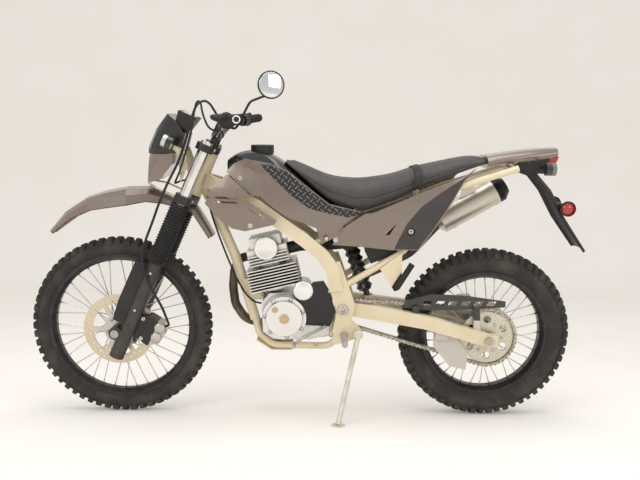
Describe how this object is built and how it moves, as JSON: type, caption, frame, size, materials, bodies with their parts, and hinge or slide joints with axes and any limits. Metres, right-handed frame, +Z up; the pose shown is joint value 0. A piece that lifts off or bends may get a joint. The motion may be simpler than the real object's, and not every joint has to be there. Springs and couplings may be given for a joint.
{
  "type": "dual sport motorcycle",
  "caption": "Road-legal off-road motorcycle with knobby tyres, spoked wheels, telescopic fork, long seat and high exhaust, leaning on its side stand.",
  "frame": {"origin": "middle of the bounding box's floor, on the ground the motorcycle stands on", "axes": "+X from front wheel to rear wheel, +Z up from the ground, +Y towards the motorcycle's right side; the motorcycle leans 10 degrees to its left, towards -Y, on its side stand"},
  "size_m": [2.055, 0.8242, 1.3362],
  "materials": {
    "cream_paint": "satin",
    "taupe_plastic": "metallic gloss",
    "black_plastic": "matte",
    "black_gloss": "gloss",
    "silver_alloy": "satin",
    "dark_alloy": "satin",
    "black_paint": "satin",
    "steel": "satin",
    "chromed": "polished",
    "bronze_steel": "satin",
    "rubber": "matte",
    "tyre_rubber": "matte",
    "seat_cover": "satin",
    "chain_steel": "satin",
    "red_lens": "gloss"
  },
  "bodies": {
    "chassis": {"frame": "cream_paint", "swingarm": "cream_paint", "engine_case": "silver_alloy", "engine_cylinder": "silver_alloy", "engine_head": "silver_alloy", "exhaust_pipe": "dark_alloy", "muffler": "steel", "intake": "black_plastic", "airbox": "black_plastic", "fuel_tank": "taupe_plastic", "fuel_cap": "black_plastic", "tank_covers": "taupe_plastic", "shrouds": "taupe_plastic", "side_covers": "taupe_plastic", "seat": "seat_cover", "tail_fender": "taupe_plastic", "rear_mudguard": "black_plastic", "tail_light": "red_lens", "rear_indicators": "black_gloss", "rear_shock": "black_paint", "rear_axles": "steel", "drive_chain": "chain_steel", "chain_guards": "black_plastic", "sprocket_cover": "black_plastic", "skid_plate": "cream_paint", "foot_pegs": "steel", "foot_controls": "steel", "rear_brake": "dark_alloy", "frame_cables": "rubber"},
    "steering": {"triple_clamps": "silver_alloy", "fork_tubes": "chromed", "fork_gaiters": "rubber", "fork_sliders": "dark_alloy", "fork_guards": "black_plastic", "front_axle": "steel", "handlebar": "black_paint", "grips": "rubber", "hand_controls": "black_plastic", "mirror": "black_plastic", "headlight": "black_gloss", "headlight_cowl": "taupe_plastic", "front_stays": "black_paint", "instrument": "black_plastic", "front_fender": "taupe_plastic", "front_indicators": "black_gloss", "front_brake": "dark_alloy", "brake_hose": "rubber", "steering_cables": "rubber"},
    "front_wheel": {"front_tyre": "tyre_rubber", "front_rim": "black_paint", "front_hub": "silver_alloy", "front_disc": "bronze_steel"},
    "rear_wheel": {"rear_tyre": "tyre_rubber", "rear_rim": "black_paint", "rear_hub": "silver_alloy", "rear_sprocket": "steel", "rear_disc": "bronze_steel"},
    "side_stand": {"side_stand": "black_paint"}
  },
  "joints": [
    {"name": "steering_axis", "type": "hinge", "parent": "chassis", "child": "steering", "pos_m": [-0.41217, 0.04743, 0.82758], "axis": [0.4067, -0.1586, 0.8997], "range_deg": [-45, 45]},
    {"name": "front_wheel_spin", "type": "hinge", "parent": "steering", "child": "front_wheel", "pos_m": [-0.68968, 0.13432, 0.3348], "axis": [0, 0.9848, 0.1736], "continuous": true},
    {"name": "rear_wheel_spin", "type": "hinge", "parent": "chassis", "child": "rear_wheel", "pos_m": [0.67531, 0.13719, 0.31851], "axis": [0, 0.9848, 0.1736], "continuous": true},
    {"name": "side_stand_pivot", "type": "hinge", "parent": "chassis", "child": "side_stand", "pos_m": [0.19756, 0.00714, 0.31893], "axis": [0, -0.9998, -0.0175], "range_deg": [0, 100]}
  ]
}
